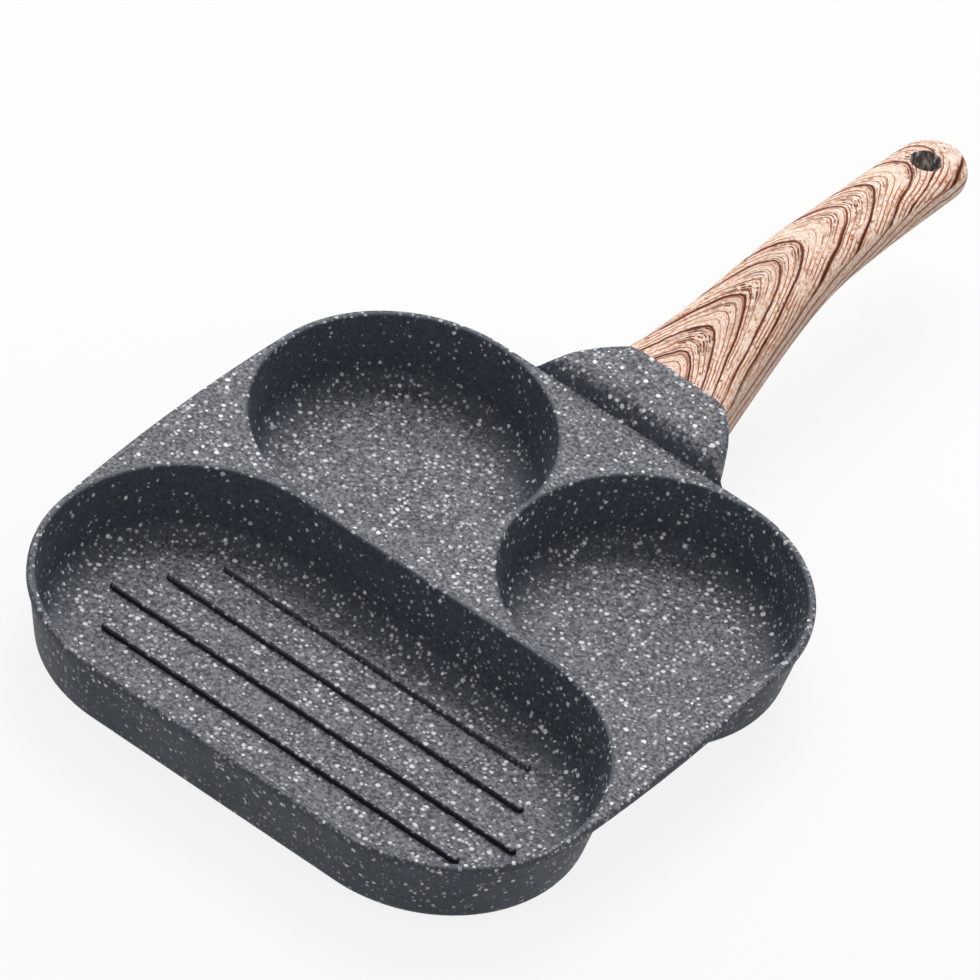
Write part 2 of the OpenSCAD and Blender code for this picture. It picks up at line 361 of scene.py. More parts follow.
class Effects:
    """Shader node groups that several finishes share. Each is built once.

    Attributes:
        torn: What makes the flecks' outlines ragged, in features for each cell.
        smallest: Radius of the smallest flecks, as a share of the largest.
        core: Share of a fleck's radius that has its full strength.
        faintest: Strength of the faintest flecks.
        wave: Share of a turned face's height that is an even wave. The rest is uneven.
        uneven: The uneven part, in features for each turning line.
        fine: The fine relief. Its rate is given with each use.
        slow: The slow patches, in features for each one of the fine relief.
    """

    torn: Clouds = Clouds(2.6, 1.0)
    smallest: float = 0.5
    core: float = 0.65
    faintest: float = 0.6
    wave: float = 0.3
    uneven: Clouds = Clouds(0.7, 2.0, 0.7, (0.35, 0.65))
    fine: Clouds = Clouds(1.0, 3.0, 0.55)
    slow: Clouds = Clouds(0.06, 2.0, 0.5, (0.3, 0.7))

    def __init__(self) -> None:
        """Builds the groups."""
        self.flecks = self._flecks()
        self.turning = self._turning()
        self.relief = self._relief()

    def _flecks(self) -> bpy.types.NodeTree:
        """Round to ragged flecks of mixed sizes, thinly or thickly sown.

        Returns:
            The group. It gives a mask of the flecks.
        """
        takes = {
            "Place": SocketKind.VECTOR,
            "Per mm": SocketKind.NUMBER,
            "Share": SocketKind.NUMBER,
            "Size": SocketKind.NUMBER,
            "Ragged": SocketKind.NUMBER,
        }
        graph, given, out = new_group("flecks", takes, ("Mask",))
        torn_rate = graph.times(given["Per mm"], self.torn.per_mm)
        torn = graph.noise(given["Place"], torn_rate, self.torn.detail)
        shift = graph.vector("SUBTRACT", torn.outputs[1], (0.5, 0.5, 0.5))
        place = graph.vector("SCALE", given["Place"], given["Per mm"])
        place = graph.vector("ADD", place, graph.vector("SCALE", shift, given["Ragged"]))
        cells = graph.add("ShaderNodeTexVoronoi", feature="F1", distance="EUCLIDEAN")
        graph.feed(cells.inputs["Vector"], place)
        graph.feed(cells.inputs["Scale"], 1.0)
        sown, size, strength = graph.parts(cells.outputs["Color"])
        radius = graph.times(given["Size"], graph.between(size, self.smallest, 1.0))
        body = graph.step(cells.outputs["Distance"], radius, graph.times(radius, self.core))
        here = graph.math("LESS_THAN", sown, given["Share"])
        mask = graph.times(body, here, graph.between(strength, self.faintest, 1.0))
        graph.feed(out["Mask"], mask)
        return graph.tree

    def _turning(self) -> bpy.types.NodeTree:
        """Fine lines that a lathe leaves, at a distance from its axis.

        Returns:
            The group. It gives the lines' height and a mask of brighter bands.
        """
        takes = {"Distance": SocketKind.NUMBER, "Pitch": SocketKind.NUMBER}
        graph, given, out = new_group("turning", takes, ("Height", "Bands"))
        turns = graph.math("DIVIDE", given["Distance"], given["Pitch"])
        wave = graph.math("SINE", graph.times(turns, 2 * math.pi))
        uneven = graph.clouds(graph.joined(turns, 0.0, 0.0), self.uneven)
        lines = graph.math("MULTIPLY_ADD", wave, self.wave, graph.times(uneven, 1 - self.wave))
        graph.feed(out["Height"], lines)
        graph.feed(out["Bands"], graph.step(uneven, *self.uneven.span))
        return graph.tree

    def _relief(self) -> bpy.types.NodeTree:
        """Slight unevenness of a sprayed or moulded skin.

        Returns:
            The group. It gives a height and a slow change for the roughness.
        """
        takes = {"Place": SocketKind.VECTOR, "Per mm": SocketKind.NUMBER}
        graph, given, out = new_group("relief", takes, ("Height", "Patches"))
        fine = graph.noise(given["Place"], given["Per mm"], self.fine.detail, self.fine.rough)
        slow_rate = graph.times(given["Per mm"], self.slow.per_mm)
        slow = graph.noise(given["Place"], slow_rate, self.slow.detail)
        graph.feed(out["Height"], fine.outputs[0])
        graph.feed(out["Patches"], graph.step(slow.outputs[0], *self.slow.span))
        return graph.tree


class Finish:
    """A material in the making: its graph, its shader and the place on the object."""

    def __init__(self, name: str) -> None:
        """Makes an empty material with one Principled shader.

        Args:
            name: The material's name.
        """
        self.material = bpy.data.materials.new(name)
        self.material.use_nodes = True
        self.material.node_tree.nodes.clear()
        self.graph = Graph(self.material.node_tree)
        self.shader = self.graph.add("ShaderNodeBsdfPrincipled")
        output = self.graph.add("ShaderNodeOutputMaterial")
        self.graph.feed(output.inputs["Surface"], self.shader.outputs[0])
        coordinates = self.graph.add("ShaderNodeTexCoord")
        self.place = self.graph.vector("SCALE", coordinates.outputs["Object"], MM)
        self.facing = coordinates.outputs["Normal"]

    def set(self, **values: Value) -> None:
        """Feeds the shader's sockets, whose names are given with _ for a space."""
        for name, value in values.items():
            socket = self.shader.inputs[name.replace("_", " ")]
            self.graph.feed(socket, (*value, 1.0) if isinstance(value, tuple) else value)

    def bump(self, height: Socket, depth_mm: float, under: Optional[Socket] = None) -> Socket:
        """Adds a Bump node.

        Args:
            height: A height from 0 to 1.
            depth_mm: The depth of 1, in millimetres.
            under: The normal of an earlier bump.

        Returns:
            The new normal.
        """
        node = self.graph.add("ShaderNodeBump")
        self.graph.feed(node.inputs["Distance"], depth_mm / MM)
        self.graph.feed(node.inputs["Height"], height)
        if under is not None:
            self.graph.feed(node.inputs["Normal"], under)
        return node.outputs[0]


@dataclass(frozen=True)
class FleckLayer:
    """One spray pass of flecks.

    Attributes:
        colour: The flecks' colour.
        per_mm: Cells in a millimetre, each with room for one fleck.
        size: Radius of the largest flecks, as a share of a cell.
        on_flats: Share of the cells that hold a fleck where the spray lands squarely.
        outside: The same on the pan's outer walls.
        inside: The same on the wells' inner walls, which the spray only grazes.
        ragged: How uneven the flecks' outlines are.
    """

    colour: Colour
    per_mm: float
    size: float
    on_flats: float
    outside: float
    inside: float
    ragged: float


@dataclass(frozen=True)
class Survey:
    """Where a point of the casting lies, as sockets of the coating's graph.

    Attributes:
        x: Its place across the pan, in millimetres.
        y: Its place along the pan.
        z: Its height.
        rise: How far up its face looks, from -1 to 1.
        bare: Whether it lies on a turned face under a well.
        room: Distance to the nearest inner wall of a well, negative outside the wells.
        inside: Whether it lies in a well.
        distance: Distance from the nearest well's middle line.
    """

    x: Socket
    y: Socket
    z: Socket
    rise: Socket
    bare: Socket
    room: Socket
    inside: Socket
    distance: Socket


@dataclass(frozen=True)
class StoneCoating:
    """Dark non-stick coating, sprayed from above with pale stone-look flecks.

    A span holds the two values at which a mask is 0 and 1.

    Attributes:
        walls: The two colours of the mottled ground coat on the walls, which the mist only grazes. They
            are darker partly as painted shade, and the floors near the wells' walls take them as painted
            shade.
        flats: The same under the mist on the flats.
        rib_shade: Colour of the ribs' sides, painted dark as the shade that falls on them.
        mottle: The mottling.
        pale_rise: How far up a face looks where the paler ground begins, outside and inside the wells.
            Below it the walls' darker colours stay, partly as painted shade.
        pale_full: How far up it looks where the ground is fully pale.
        wall_shade_mm: How far from a well's wall the floor keeps some of the walls' darker colours, as
            painted shade at the walls' foot.
        spray_rise: Span of how far up a face looks, for the flecks.
        low_mm: Span of heights on the wells' walls, where more flecks land.
        low_share: How many of the flats' flecks land at the foot of those walls.
        across_mm: Span across the pan, over which the wells' walls get more flecks.
        across_share: Flecks on those walls at both ends of the span, as shares of the layer's.
        grazed_size: Size of the flecks on the wells' walls, as a share of the layer's.
        rib_rise: Span of how far up a face looks, for the ribs' sides.
        rib_clear_mm: How far from a well's wall a leaning face belongs to a rib.
        rib_back_mm: Span along the pan, over which the painted shade on the ribs' sides grows from the
            back to the front.
        rib_back: How strong that painted shade is at the back, as a share of the front.
        layers: The spray passes, finest first.
        layer_shift_mm: How far each pass is moved from the one before, so that no two match.
        bare: Colour of the turned aluminium under the wells.
        dull: Colour of its duller bands, as a share.
        turning_pitch_mm: Distance from one turning line to the next.
        relief_per_mm: Features of the coating's relief in a millimetre.
        roughness: Roughness of the coating.
        patch_rough: How much rougher its patches are.
        fleck_rough: How much rougher the flecks are.
        bare_smooth: How much smoother the turned faces are.
        specular: Specular level.
        skin_mm: Depth of the relief and the largest flecks, which share it evenly.
        turning_mm: Depth of the turning lines.
    """

    walls: tuple[Colour, Colour] = (linear(65, 72, 82), linear(82, 89, 98))
    flats: tuple[Colour, Colour] = (linear(52, 56, 63), linear(127, 129, 135))
    rib_shade: Colour = linear(34, 36, 40)
    mottle: Clouds = Clouds(0.78, 2.0, 0.6, (0.34, 0.66))
    pale_rise: Span = (0.38, 0.55)
    pale_full: float = 0.96
    wall_shade_mm: float = 15.0
    spray_rise: Span = (0.05, 0.65)
    low_mm: Span = (19.0, 3.0)
    low_share: float = 0.5
    across_mm: Span = (-70.0, 60.0)
    across_share: Span = (0.7, 2.2)
    grazed_size: float = 0.88
    rib_rise: Span = (0.8, 0.45)
    rib_clear_mm: float = 10.0
    rib_back_mm: Span = (36.0, 8.0)
    rib_back: float = 0.5
    layers: tuple[FleckLayer, ...] = (
        FleckLayer(linear(158, 159, 164), 0.62, 0.46, 0.50, 0.34, 0.19, 0.45),
        FleckLayer(linear(208, 209, 212), 0.50, 0.46, 0.42, 0.26, 0.15, 0.35),
        FleckLayer(linear(246, 246, 247), 0.42, 0.44, 0.34, 0.17, 0.10, 0.3),
    )
    layer_shift_mm: Vector = Vector((17.0, 5.0, 11.0)).freeze()
    bare: Colour = linear(196, 197, 200)
    dull: float = 0.8
    turning_pitch_mm: float = 0.9
    relief_per_mm: float = 1.1
    roughness: float = 0.54
    patch_rough: float = 0.08
    fleck_rough: float = 0.05
    bare_smooth: float = 0.22
    specular: float = 0.3
    skin_mm: float = 0.05
    turning_mm: float = 0.02

    def build(self, effects: Effects, casting: "Casting") -> bpy.types.Material:
        """Builds the material.

        Args:
            effects: The shared node groups.
            casting: The casting, for its wells.

        Returns:
            The material.
        """
        finish = Finish("stone_coating")
        graph = finish.graph
        survey = self._survey(finish, casting)
        # Painted shade: the ribs' sides are coloured dark, as the shade that falls on them, and get no
        # flecks.
        rib_shade = self._rib_sides(graph, survey)
        ground = graph.mix(rib_shade, self._ground(finish, survey), self.rib_shade)
        colour, flecks, largest = self._spray(finish, effects, survey, ground, rib_shade)
        relief = graph.use(effects.relief, **{"Place": finish.place, "Per mm": self.relief_per_mm})
        lines = graph.use(effects.turning, Distance=survey.distance, Pitch=self.turning_pitch_mm)
        metal = graph.mix(lines["Bands"], tuple(self.dull * c for c in self.bare), self.bare)
        rough = graph.math("MULTIPLY_ADD", relief["Patches"], self.patch_rough, self.roughness)
        rough = graph.math("MULTIPLY_ADD", flecks, self.fleck_rough, rough)
        finish.set(
            Base_Color=graph.mix(survey.bare, colour, metal),
            Metallic=survey.bare,
            Roughness=graph.math("MULTIPLY_ADD", survey.bare, -self.bare_smooth, rough),
            Specular_IOR_Level=self.specular,
        )
        skin = graph.math("MULTIPLY_ADD", largest, 0.5, graph.times(relief["Height"], 0.5))
        coated = graph.opposite(survey.bare)
        normal = finish.bump(graph.times(skin, coated), self.skin_mm)
        turned = graph.times(lines["Height"], survey.bare)
        finish.set(Normal=finish.bump(turned, self.turning_mm, normal))
        return finish.material

    @staticmethod
    def _survey(finish: Finish, casting: "Casting") -> Survey:
        """Finds where each point lies among the wells.

        Args:
            finish: The material in the making.
            casting: The casting.

        Returns:
            The survey.
        """
        graph = finish.graph
        x, y, z = graph.parts(finish.place)
        under: Value = 0.0
        mouth: Value = -FAR_MM
        distance: Value = FAR_MM
        for well in casting.wells():
            along = graph.math("ABSOLUTE", graph.minus(x, well.x_mm))
            along = graph.math("MAXIMUM", graph.minus(along, well.half_run_mm), 0.0)
            away = graph.vector("LENGTH", graph.joined(along, graph.minus(y, well.y_mm), 0.0))
            under = graph.math("MAXIMUM", under, graph.math("LESS_THAN", away, well.foot_mm))
            mouth = graph.math("MAXIMUM", mouth, graph.minus(well.rim_mm, away))
            distance = graph.math("MINIMUM", distance, away)
        low = graph.math("LESS_THAN", z, casting.groove_top_mm)
        slope = math.tan(math.radians(casting.wall_lean_deg))
        lean = graph.times(graph.minus(casting.deck_mm, z), slope)
        room = graph.minus(mouth, lean)
        return Survey(
            x=x,
            y=y,
            z=z,
            rise=graph.parts(finish.facing)[2],
            bare=graph.times(under, low),
            room=room,
            inside=graph.math("GREATER_THAN", room, -casting.half_wall_mm),
            distance=distance,
        )

    def _rib_sides(self, graph: Graph, survey: Survey) -> Socket:
        """Finds the ribs' sides, on which shade is painted.

        Args:
            graph: The material's graph.
            survey: Where the point lies.

        Returns:
            A mask of the painted shade, weaker towards the back.
        """
        clear = graph.math("GREATER_THAN", survey.room, self.rib_clear_mm)
        sides = graph.times(graph.step(survey.rise, *self.rib_rise), clear)
        front = graph.step(survey.y, *self.rib_back_mm)
        return graph.times(sides, graph.between(front, self.rib_back, 1.0))

    def _ground(self, finish: Finish, survey: Survey) -> Socket:
        """Mottles the ground coat, which is paler where the mist lands squarely, on faces that look up.
        Steep faces keep darker colours, partly as painted shade, and the floors near the wells' walls
        keep them too, as painted shade.

        Args:
            finish: The material in the making.
            survey: Where the point lies.

        Returns:
            The ground coat's colour.
        """
        graph = finish.graph
        begins = graph.between(survey.inside, *self.pale_rise)
        outside = graph.opposite(survey.inside)
        # Painted shade: near the wells' walls the floor keeps the walls' darker colours.
        past_wall_shade = graph.math("MAXIMUM", outside, graph.step(survey.room, 0.0, self.wall_shade_mm))
        # Steep faces keep the walls' darker colours, partly as painted shade.
        pale_share = graph.times(graph.step(survey.rise, begins, self.pale_full), past_wall_shade)
        mottle = graph.patches(finish.place, self.mottle)
        return graph.mix(pale_share, graph.mix(mottle, *self.walls), graph.mix(mottle, *self.flats))

    def _spray(
        self, finish: Finish, effects: Effects, survey: Survey, ground: Socket, rib_shade: Socket
    ) -> tuple[Socket, Socket, Socket]:
        """Sprays the flecks on the ground coat.

        Args:
            finish: The material in the making.
            effects: The shared node groups.
            survey: Where the point lies.
            ground: The ground coat's colour.
            rib_shade: A mask of the painted shade on the ribs' sides, where no flecks are drawn.

        Returns:
            The colour, a mask of all the flecks, and one of the last pass's flecks.
        """
        graph = finish.graph
        square = graph.step(survey.rise, *self.spray_rise)
        low = graph.times(graph.step(survey.z, *self.low_mm), survey.inside)
        sprayed = graph.math("MAXIMUM", square, graph.times(low, self.low_share))
        grazed = graph.times(survey.inside, graph.opposite(square))
        across = graph.between(graph.step(survey.x, *self.across_mm), *self.across_share)
        # No flecks are drawn on the ribs' sides, under their painted shade.
        outside_rib_shade = graph.opposite(rib_shade)
        colour = ground
        flecks: Value = 0.0
        for index, layer in enumerate(self.layers):
            more = graph.math("MULTIPLY_ADD", across, layer.inside, -layer.outside)
            walls = graph.math("MULTIPLY_ADD", survey.inside, more, layer.outside)
            flats = graph.minus(layer.on_flats, walls)
            given = {
                "Place": graph.vector("ADD", finish.place, tuple(self.layer_shift_mm * index)),
                "Per mm": layer.per_mm,
                "Share": graph.math("MULTIPLY_ADD", sprayed, flats, walls),
                "Size": graph.between(grazed, layer.size, self.grazed_size * layer.size),
                "Ragged": layer.ragged,
            }
            mask = graph.use(effects.flecks, **given)["Mask"]
            colour = graph.mix(graph.times(mask, outside_rib_shade), colour, layer.colour)
            flecks = graph.math("MAXIMUM", flecks, mask)
        return colour, flecks, mask


@dataclass(frozen=True)
class WoodPrint:
    """Wood-grain print on a phenolic moulding: nested growth arches that point at the tip.

    The print follows a growth layer: a number that rises along the handle and down its sides.
    Its growth lines, streaks and dashes are drawn where the layer has certain values. How much
    the layer changes over a millimetre of the surface tells the arches' points from their legs,
    and the legs from the handle's sides. A span holds the two values at which a mask is 0 and 1.

    Attributes:
        pale: Colour between the growth lines.
        warm: Colour of the hatching.
        brown: Colour on the root side of each growth line, and of the thin lines.
        line: Colour of the growth lines.
        bore: Colours of the unprinted moulding inside the hanging hole.
        bore_streaks: Its streaks, and how much they are drawn out along the hole.
        rings_mm: Where the growth lines cross the arches' middle line, from the lug.
        first_mm: Where the line under the lug lies.
        side_pitch_mm: Distance between the growth lines after the last one.
        side_lines: How many of those there are.
        lean_mm: Where the arches' middle line lies across the handle.
        wander: How the middle line wanders, and by how much.
        spread: How far the arches' legs run back at 1 mm from their middle line.
        tip_spread: The same near the tip.
        tip_span: Where the spread changes, as shares of the handle's length.
        bend: Power with which they run back further out.
        side_rate: How far they run back for each millimetre down the sides.
        shoulder_mm: How far below the crest the sides begin.
        shoulder_soft_mm: Over how much of the sides that rate comes in.
        below_rise: Span of how far up a face looks, for the underside.
        below_rate: Change of the layer on the underside, as a share of that on the sides.
        sway: Slow change of the layer, and by how much.
        shiver: Quick change of the layer, and by how much.
        leg_steep: Span of the layer's change, from the arches' points to their legs.
        side_steep: Span of the layer's change, from the sides to the top.
        point_streaks: Streaks at the points, in a millimetre across and along the layer.
        leg_streaks: The same on the legs.
        streaks: Their noise, and where it is hatching.
        top_loss: How much less hatching the top has than the sides.
        edge_power: How quickly a growth line's root side turns pale again.
        edges: Where the root sides are brown.
        dots_span: Where the streaks are dark.
        dots_gain: Strength of the dark streaks.
        fresh: Growth layers that have dark streaks and arcs.
        swell: Places where the growth lines are thick.
        width_span: The growth lines' width there, as shares of line_mm.
        ink_span: Where the growth lines change from brown to dark.
        side_ink: Strength of the growth lines on the sides.
        line_mm: Width of the growth lines.
        arc_pitch_mm: Distance between the short arcs near the arches' points.
        arc_mm: Width of the short arcs.
        dashes: Where the short arcs are broken.
        thin_pitch_mm: Distance between the thin lines that run between the growth lines.
        thin_mm: Width of the thin lines.
        thin_patches: Where the thin lines show.
        soft: Where a line's mask ends and is full, as shares of half its width.
        relief_per_mm: Features of the moulding's relief in a millimetre.
        relief_mm: Depth of that relief.
        roughness: Roughness of the print.
        patch_rough: How much rougher its patches are.
        specular: Specular level.
    """

    pale: Colour = linear(255, 236, 221)
    warm: Colour = linear(236, 182, 152)
    brown: Colour = linear(172, 98, 64)
    line: Colour = linear(92, 38, 16)
    bore: tuple[Colour, Colour] = (linear(110, 98, 92), linear(250, 244, 240))
    bore_streaks: tuple[Clouds, float] = (Clouds(1.1, 3.0, 0.6, (0.45, 0.7)), 0.25)
    rings_mm: tuple[float, ...] = (9.0, 22.0, 37.0, 53.0, 65.0, 88.0, 105.0, 125.0, 137.0, 150.0)
    first_mm: float = -6.0
    side_pitch_mm: float = 13.0
    side_lines: int = 11
    lean_mm: float = -3.0
    wander: tuple[Clouds, float] = (Clouds(0.02, 1.0), 5.0)
    spread: float = 0.40
    tip_spread: float = 0.20
    tip_span: Span = (0.74, 0.97)
    bend: float = 1.6
    side_rate: float = 4.2
    shoulder_mm: float = 3.5
    shoulder_soft_mm: float = 0.6
    below_rise: Span = (-0.3, -0.9)
    below_rate: float = 0.3
    sway: tuple[Clouds, float] = (Clouds(0.045, 1.0), 8.0)
    shiver: tuple[Clouds, float] = (Clouds(0.28, 2.0), 1.2)
    leg_steep: Span = (1.5, 2.6)
    side_steep: Span = (4.6, 3.4)
    point_streaks: Span = (1.7, 0.85)
    leg_streaks: Span = (0.36, 0.60)
    streaks: Clouds = Clouds(1.0, 2.0, 0.6, (0.40, 0.60))
    top_loss: float = 0.15
    edge_power: float = 9.0
    edges: Span = (0.28, 0.55)
    dots_span: Span = (0.58, 0.70)
    dots_gain: float = 1.4
    fresh: Clouds = Clouds(0.09, 1.0, 0.5, (0.42, 0.56))
    swell: Clouds = Clouds(0.09, 2.0)
    width_span: Span = (0.55, 1.45)
    ink_span: Span = (0.20, 0.45)
    side_ink: float = 0.65
    line_mm: float = 0.64
    arc_pitch_mm: float = 1.5
    arc_mm: float = 0.62
    dashes: Clouds = Clouds(0.5, 2.0, 0.5, (0.42, 0.56))
    thin_pitch_mm: float = 3.6
    thin_mm: float = 0.42
    thin_patches: Clouds = Clouds(0.07, 2.0, 0.5, (0.33, 0.52))
    soft: Span = (1.4, 0.6)
    relief_per_mm: float = 0.9
    relief_mm: float = 0.02
    roughness: float = 0.55
    patch_rough: float = 0.07
    specular: float = 0.15

    def build(self, effects: Effects, grip: "Grip") -> bpy.types.Material:
        """Builds the material.

        Args:
            effects: The shared node groups.
            grip: The handle, for its crest line and hanging hole.

        Returns:
            The material.
        """
        finish = Finish("wood_print")
        graph = finish.graph
        level, steep = self._layer(finish, grip)
        colour = self._grain(finish, level, steep)
        kind, drawn_out = self.bore_streaks
        streaks = graph.patches(graph.vector("MULTIPLY", finish.place, (1.0, 1.0, drawn_out)), kind)
        bore = graph.mix(streaks, *self.bore)
        colour = graph.mix(self._inside_hole(finish, grip), colour, bore)
        relief = graph.use(effects.relief, **{"Place": finish.place, "Per mm": self.relief_per_mm})
        finish.set(
            Base_Color=colour,
            Roughness=graph.math("MULTIPLY_ADD", relief["Patches"], self.patch_rough, self.roughness),
            Specular_IOR_Level=self.specular,
            Normal=finish.bump(relief["Height"], self.relief_mm),
        )
        return finish.material

    @staticmethod
    def _moved(graph: Graph, value: Value, place: Value, change: tuple[Clouds, float]) -> Socket:
        """Adds a noise to a value.

        Args:
            graph: The material's graph.
            value: The value.
            place: The position in millimetres.
            change: The noise, and how much the value changes over its whole range.

        Returns:
            The changed value.
        """
        kind, amount = change
        swing = graph.minus(graph.clouds(place, kind), 0.5)
        return graph.math("MULTIPLY_ADD", swing, amount, value)

    def _layer(self, finish: Finish, grip: "Grip") -> tuple[Socket, Socket]:
        """Finds the growth layer that the surface cuts.

        Args:
            finish: The material in the making.
            grip: The handle, for its ends and crest line.

        Returns:
            The layer, in millimetres along the arches' middle line, and how much it changes over
            a millimetre of the surface.
        """
        graph = finish.graph
        x, y, z = graph.parts(finish.place)
        along = graph.minus(y, grip.lug_mm)
        down = graph.minus(graph.curve(y, grip.crest_line_mm()), z)
        lean = self._moved(graph, self.lean_mm, graph.joined(0.0, along, 0.0), self.wander)
        off = graph.math("ABSOLUTE", graph.minus(x, lean))
        length = grip.tip_mm - grip.lug_mm
        near_tip = graph.step(along, *(share * length for share in self.tip_span))
        spread = graph.between(near_tip, self.spread, self.tip_spread)
        legs = graph.times(graph.math("POWER", off, self.bend), spread)
        sides = graph.math("MAXIMUM", graph.minus(down, self.shoulder_mm), 0.0)
        level = graph.math("ADD", along, legs)
        level = graph.math("ADD", level, graph.times(sides, self.side_rate))
        for change in (self.sway, self.shiver):
            level = self._moved(graph, level, finish.place, change)
        leg_rate = graph.times(graph.math("POWER", off, self.bend - 1), self.bend * self.spread)
        below = graph.step(graph.parts(finish.facing)[2], *self.below_rise)
        side_rate = graph.between(below, self.side_rate, self.below_rate * self.side_rate)
        side_rate = graph.times(graph.step(sides, 0.0, self.shoulder_soft_mm), side_rate)
        return level, graph.vector("LENGTH", graph.joined(1.0, leg_rate, side_rate))

    def _grain(self, finish: Finish, level: Socket, steep: Socket) -> Socket:
        """Draws the hatching, the fine lines and the growth lines.

        Args:
            finish: The material in the making.
            level: The growth layer.
            steep: How much the layer changes over a millimetre of the surface.

        Returns:
            The print's colour.
        """
        graph = finish.graph
        place = finish.place
        last = self.rings_mm[-1]
        more = (last + self.side_pitch_mm * count for count in range(1, self.side_lines + 1))
        rings = [self.first_mm, *self.rings_mm, *more]
        counts = [(ring, float(count)) for count, ring in enumerate(rings)]
        share = graph.math("FRACT", graph.curve(level, counts))
        fresh = graph.clouds(graph.joined(level, 0.0, 0.0), self.fresh)
        swell = graph.clouds(place, self.swell)
        leg = graph.step(steep, *self.leg_steep)
        point = graph.opposite(leg)
        top = graph.step(steep, *self.side_steep)

        hatch = graph.math(
            "ADD",
            graph.times(self._streaks(finish, level, self.point_streaks), point),
            graph.times(self._streaks(finish, level, self.leg_streaks), leg),
        )
        lacking = graph.times(top, self.top_loss)
        hatching = graph.minus(graph.step(hatch, *self.streaks.span), lacking)
        colour = graph.mix(graph.math("MAXIMUM", hatching, 0.0), self.pale, self.warm)
        edge = graph.times(graph.math("POWER", share, self.edge_power), graph.step(swell, *self.edges))
        colour = graph.mix(edge, colour, self.brown)
        dots = graph.times(graph.step(hatch, *self.dots_span), graph.times(fresh, self.dots_gain))
        colour = graph.mix(graph.times(dots, top), colour, self.line)

        arcs = self._spaced(graph, level, steep, self.arc_pitch_mm, self.arc_mm)
        unbroken = graph.patches(place, self.dashes)
        arcs = graph.times(arcs, unbroken, point, graph.step(fresh, *self.fresh.span))
        colour = graph.mix(arcs, colour, self.line)

        thin = self._spaced(graph, level, steep, self.thin_pitch_mm, self.thin_mm)
        patchy = graph.patches(graph.joined(level, graph.parts(place)[1], 0.0), self.thin_patches)
        colour = graph.mix(graph.times(thin, patchy, top), colour, self.brown)

        width = graph.times(graph.between(swell, *self.width_span), self.line_mm / self.side_pitch_mm)
        ink = graph.mix(graph.step(swell, *self.ink_span), self.brown, self.line)
        strength = graph.between(top, self.side_ink, 1.0)
        drawn = graph.times(self._lines(graph, share, steep, width), strength)
        return graph.mix(drawn, colour, ink)

    def _streaks(self, finish: Finish, level: Socket, rates: Span) -> Socket:
        """Makes noise that is drawn out along the growth layers.

        Args:
            finish: The material in the making.
            level: The growth layer.
            rates: Streaks in a millimetre of the layer, and in one along the layer's outline.

        Returns:
            The noise, from 0 to 1.
        """
        graph = finish.graph
        x, y, _ = graph.parts(finish.place)
        pairs = zip((level, x, y), (rates[0], rates[1], rates[1]))
        where = graph.joined(*(graph.times(value, rate) for value, rate in pairs))
        return graph.clouds(where, self.streaks)

    def _spaced(
        self, graph: Graph, level: Socket, steep: Socket, pitch_mm: float, width_mm: float
    ) -> Socket:
        """Draws evenly spaced lines along the growth layers.

        Args:
            graph: The material's graph.
            level: The growth layer.
            steep: How much the layer changes over a millimetre of the surface.
            pitch_mm: Distance between the lines.
            width_mm: Width of the lines.

        Returns:
            A mask of the lines.
        """
        return self._lines(graph, graph.math("DIVIDE", level, pitch_mm), steep, width_mm / pitch_mm)

    def _lines(self, graph: Graph, count: Socket, steep: Socket, width: Value) -> Socket:
        """Draws lines of an even width where a count of lines is whole.

        Args:
            graph: The material's graph.
            count: The count, which rises by 1 from one line to the next.
            steep: How much the layer changes over a millimetre of the surface.
            width: The lines' width, as a share of the spacing.

        Returns:
            A mask of the lines.
        """
        share = graph.math("FRACT", count)
        near = graph.math("MINIMUM", share, graph.opposite(share))
        half = graph.times(steep, width, 0.5)
        return graph.step(near, *(graph.times(half, part) for part in self.soft))

    @staticmethod
    def _inside_hole(finish: Finish, grip: "Grip") -> Socket:
        """Finds the wall of the hanging hole.

        Args:
            finish: The material in the making.
            grip: The handle.

        Returns:
            A mask of the wall.
        """
        graph = finish.graph
        away = graph.vector("SUBTRACT", finish.place, tuple(grip.hole_mm))
        axis = tuple(grip.hole_axis)
        height = graph.vector("DOT_PRODUCT", away, axis)
        flat = graph.vector("SUBTRACT", away, graph.vector("SCALE", axis, height))
        edge = (grip.hole_r_mm + more for more in grip.hole_edge_mm)
        return graph.step(graph.vector("LENGTH", flat), *edge)


